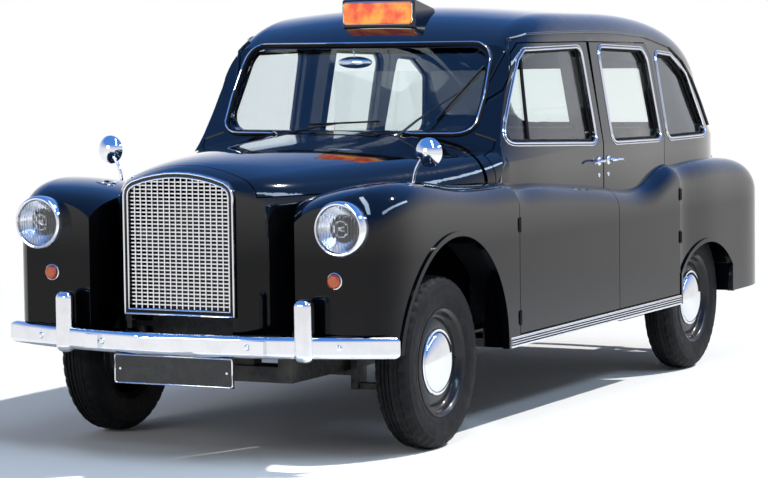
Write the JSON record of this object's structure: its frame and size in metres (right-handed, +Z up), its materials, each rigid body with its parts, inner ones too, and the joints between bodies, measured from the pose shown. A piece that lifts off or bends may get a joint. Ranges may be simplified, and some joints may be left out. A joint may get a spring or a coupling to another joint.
{
  "type": "taxi cab",
  "caption": "Four-door saloon taxi cab with upright grille, round wing lamps, roof sign, opening doors, bonnet and boot lid, steered front wheels and rolling wheels.",
  "frame": {"origin": "centre of the footprint at ground level", "axes": "+Z up, +Y towards the rear, +X towards the cab's left side"},
  "size_m": [1.738, 4.572, 1.7732],
  "materials": {
    "paint": "gloss",
    "chrome": "polished",
    "chassis_black": "matt",
    "cast_metal": "as cast",
    "glass": "clear",
    "lamp_glass": "fluted",
    "amber": "gloss",
    "red_lens": "gloss",
    "plate_black": "satin",
    "leather": "pleated",
    "trim": "matt",
    "tyre": "matt",
    "wheel_paint": "semi gloss",
    "steel": "plain"
  },
  "bodies": {
    "root": {"body_shell": "paint", "floor_pan": "chassis_black", "front_wings": "paint", "rear_wings": "paint", "nose_panel": "paint", "grille": "chrome", "grille_surround": "paint", "headlamps": "chrome", "headlamp_lenses": "lamp_glass", "indicators": "amber", "tail_lamps": "red_lens", "front_bumper": "chrome", "rear_bumper": "chrome", "front_plate": "plate_black", "sill_strips": "chrome", "roof_sign": "paint", "sign_lens": "amber", "wing_mirrors": "chrome", "windscreen": "glass", "fixed_glass": "glass", "dashboard": "trim", "steering_wheel": "trim", "driver_seat": "leather", "rear_seat": "leather", "tip_up_seats": "leather", "partition": "trim", "chassis_frame": "chassis_black", "front_suspension": "chassis_black", "rear_axle": "chassis_black", "leaf_springs": "steel", "engine": "cast_metal", "propshaft": "steel", "radiator": "chassis_black", "fuel_tank": "chassis_black", "exhaust": "steel"},
    "door_fl": {"door_fl": "paint", "door_glass_fl": "glass"},
    "door_fr": {"door_fr": "paint", "door_glass_fr": "glass"},
    "door_rl": {"door_rl": "paint", "door_glass_rl": "glass"},
    "door_rr": {"door_rr": "paint", "door_glass_rr": "glass"},
    "bonnet": {"bonnet": "paint"},
    "boot_lid": {"boot_lid": "paint", "rear_plate": "plate_black"},
    "knuckle_l": {"knuckle_l": "cast_metal"},
    "knuckle_r": {"knuckle_r": "cast_metal"},
    "wheel_fl": {"tyre_fl": "tyre", "wheel_fl": "wheel_paint"},
    "wheel_fr": {"tyre_fr": "tyre", "wheel_fr": "wheel_paint"},
    "wheel_rl": {"tyre_rl": "tyre", "wheel_rl": "wheel_paint"},
    "wheel_rr": {"tyre_rr": "tyre", "wheel_rr": "wheel_paint"}
  },
  "joints": [
    {"name": "front_door_left", "type": "hinge", "parent": "root", "child": "door_fl", "pos_m": [0.85, -0.9325, 0.65], "axis": [0, 0, -1], "range_deg": [0, 65]},
    {"name": "front_door_right", "type": "hinge", "parent": "root", "child": "door_fr", "pos_m": [-0.85, -0.9325, 0.65], "axis": [0, 0, 1], "range_deg": [0, 65]},
    {"name": "rear_door_left", "type": "hinge", "parent": "root", "child": "door_rl", "pos_m": [0.85, 0.9125, 0.76], "axis": [0, 0, 1], "range_deg": [0, 70]},
    {"name": "rear_door_right", "type": "hinge", "parent": "root", "child": "door_rr", "pos_m": [-0.85, 0.9125, 0.76], "axis": [0, 0, -1], "range_deg": [0, 70]},
    {"name": "bonnet_lift", "type": "hinge", "parent": "root", "child": "bonnet", "pos_m": [0, -0.8975, 1.209], "axis": [-1, 0, 0], "range_deg": [0, 45]},
    {"name": "boot_lid_lift", "type": "hinge", "parent": "root", "child": "boot_lid", "pos_m": [0, 1.952, 1.068], "axis": [1, 0, 0], "range_deg": [0, 70]},
    {"name": "steer_left", "type": "hinge", "parent": "root", "child": "knuckle_l", "pos_m": [0.59, -1.526, 0.34], "axis": [0, 0, 1], "range_deg": [-35, 35]},
    {"name": "steer_right", "type": "hinge", "parent": "root", "child": "knuckle_r", "pos_m": [-0.59, -1.526, 0.34], "axis": [0, 0, 1], "range_deg": [-35, 35]},
    {"name": "roll_fl", "type": "hinge", "parent": "knuckle_l", "child": "wheel_fl", "pos_m": [0.711, -1.526, 0.34], "axis": [1, 0, 0], "continuous": true},
    {"name": "roll_fr", "type": "hinge", "parent": "knuckle_r", "child": "wheel_fr", "pos_m": [-0.711, -1.526, 0.34], "axis": [1, 0, 0], "continuous": true},
    {"name": "roll_rl", "type": "hinge", "parent": "root", "child": "wheel_rl", "pos_m": [0.711, 1.284, 0.34], "axis": [1, 0, 0], "continuous": true},
    {"name": "roll_rr", "type": "hinge", "parent": "root", "child": "wheel_rr", "pos_m": [-0.711, 1.284, 0.34], "axis": [1, 0, 0], "continuous": true}
  ],
  "couplings": [
    {"joint": "steer_right", "follows": "steer_left", "ratio": 1}
  ]
}
